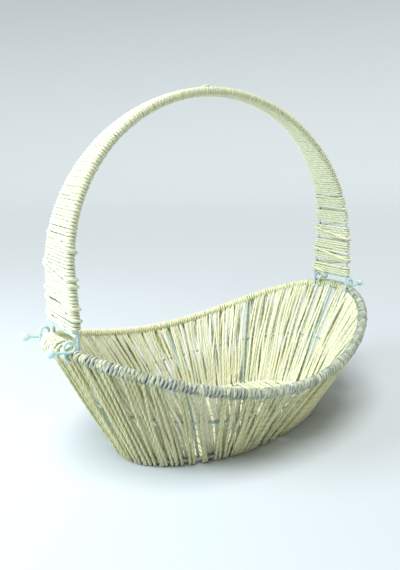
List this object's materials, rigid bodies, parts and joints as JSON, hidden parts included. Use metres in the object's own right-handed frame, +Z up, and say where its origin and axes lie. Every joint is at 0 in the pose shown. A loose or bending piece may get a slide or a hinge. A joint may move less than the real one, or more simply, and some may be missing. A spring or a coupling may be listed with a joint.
{
  "type": "flower girl basket",
  "caption": "Small boat-shaped basket with a wide arched handle: a painted wire frame bound with twisted ivory paper cord, for carrying petals.",
  "frame": {"origin": "on the surface that the basket stands on, under the middle of the basket", "axes": "+X along the basket towards its right end, +Y across it towards the back, +Z up"},
  "size_m": [0.3302, 0.1988, 0.2823],
  "materials": {
    "painted_wire": "pale mint gloss paint on steel wire",
    "painted_ball": "pale aqua gloss paint",
    "paper_cord": "matte twisted paper cord, ivory"
  },
  "bodies": {
    "root": {"ball_tip_left_front": "painted_ball", "ball_tip_left_rear": "painted_ball", "ball_tip_right_front": "painted_ball", "ball_tip_right_rear": "painted_ball", "base_ring_wire": "painted_wire", "crossbar_left": "painted_wire", "crossbar_right": "painted_wire", "floor_cords": "paper_cord", "handle_cord": "paper_cord", "handle_front_wire": "painted_wire", "handle_rear_wire": "painted_wire", "inner_cords_back_left": "paper_cord", "inner_cords_back_right": "paper_cord", "inner_cords_front_left": "paper_cord", "inner_cords_front_right": "paper_cord", "inner_cords_left_back": "paper_cord", "inner_cords_left_front": "paper_cord", "inner_cords_right_back": "paper_cord", "inner_cords_right_front": "paper_cord", "middle_ring_wire": "painted_wire", "outer_cords_back_left": "paper_cord", "outer_cords_back_right": "paper_cord", "outer_cords_front_left": "paper_cord", "outer_cords_front_right": "paper_cord", "outer_cords_left_back": "paper_cord", "outer_cords_left_front": "paper_cord", "outer_cords_right_back": "paper_cord", "outer_cords_right_front": "paper_cord", "rib_back": "painted_wire", "rib_back_left": "painted_wire", "rib_back_right": "painted_wire", "rib_front": "painted_wire", "rib_front_left": "painted_wire", "rib_front_right": "painted_wire", "rib_left": "painted_wire", "rib_right": "painted_wire", "rim_cord_back_left": "paper_cord", "rim_cord_back_right": "paper_cord", "rim_cord_front_left": "paper_cord", "rim_cord_front_right": "paper_cord", "rim_cord_left_back": "paper_cord", "rim_cord_left_front": "paper_cord", "rim_cord_right_back": "paper_cord", "rim_cord_right_front": "paper_cord", "rim_wire": "painted_wire"}
  },
  "joints": []
}
